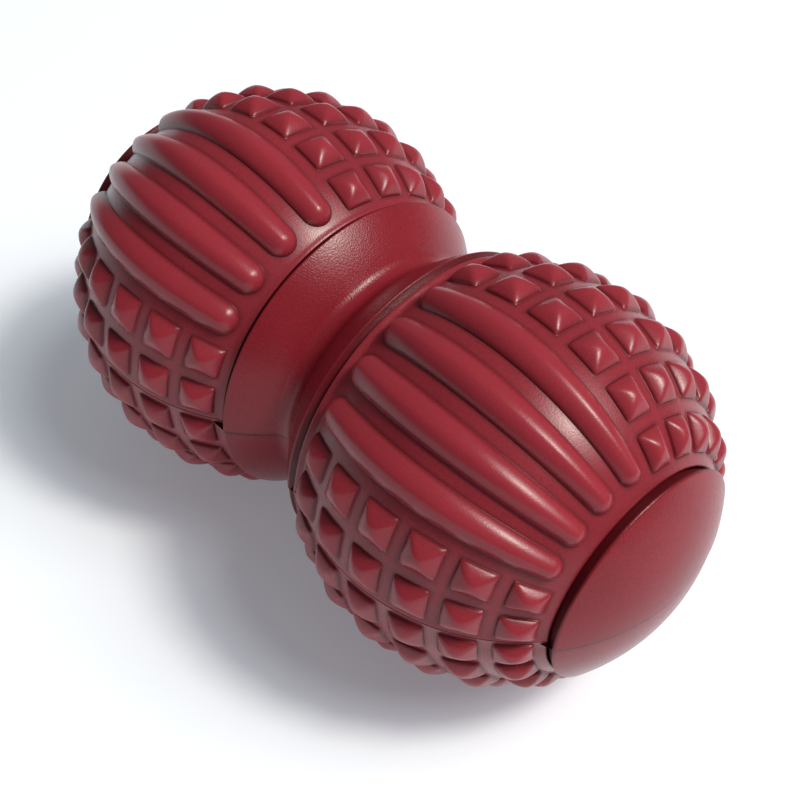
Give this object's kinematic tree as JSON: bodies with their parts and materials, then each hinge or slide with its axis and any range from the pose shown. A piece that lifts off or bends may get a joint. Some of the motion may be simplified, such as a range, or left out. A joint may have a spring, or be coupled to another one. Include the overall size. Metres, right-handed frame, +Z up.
{
  "type": "massage roller",
  "caption": "Peanut-shaped massage roller with studded and ribbed grip sleeves on a smooth waisted core with plain end domes.",
  "frame": {"origin": "on the surface that the roller rests on, under the middle of its waist", "axes": "+X along the roller's long axis, +Z up; the rib bands face up-front (-Y) and down-back (+Y)"},
  "size_m": [0.163, 0.0894, 0.0895],
  "materials": {
    "core_plastic": "satin dark red moulding with a fine leather-like texture",
    "sleeve_elastomer": "satin dark red elastomer, slightly soft to the touch"
  },
  "bodies": {
    "root": {"core_upper_half": "core_plastic", "core_lower_half": "core_plastic", "left_sleeve_upper_half": "sleeve_elastomer", "left_sleeve_lower_half": "sleeve_elastomer", "right_sleeve_upper_half": "sleeve_elastomer", "right_sleeve_lower_half": "sleeve_elastomer"}
  },
  "joints": []
}
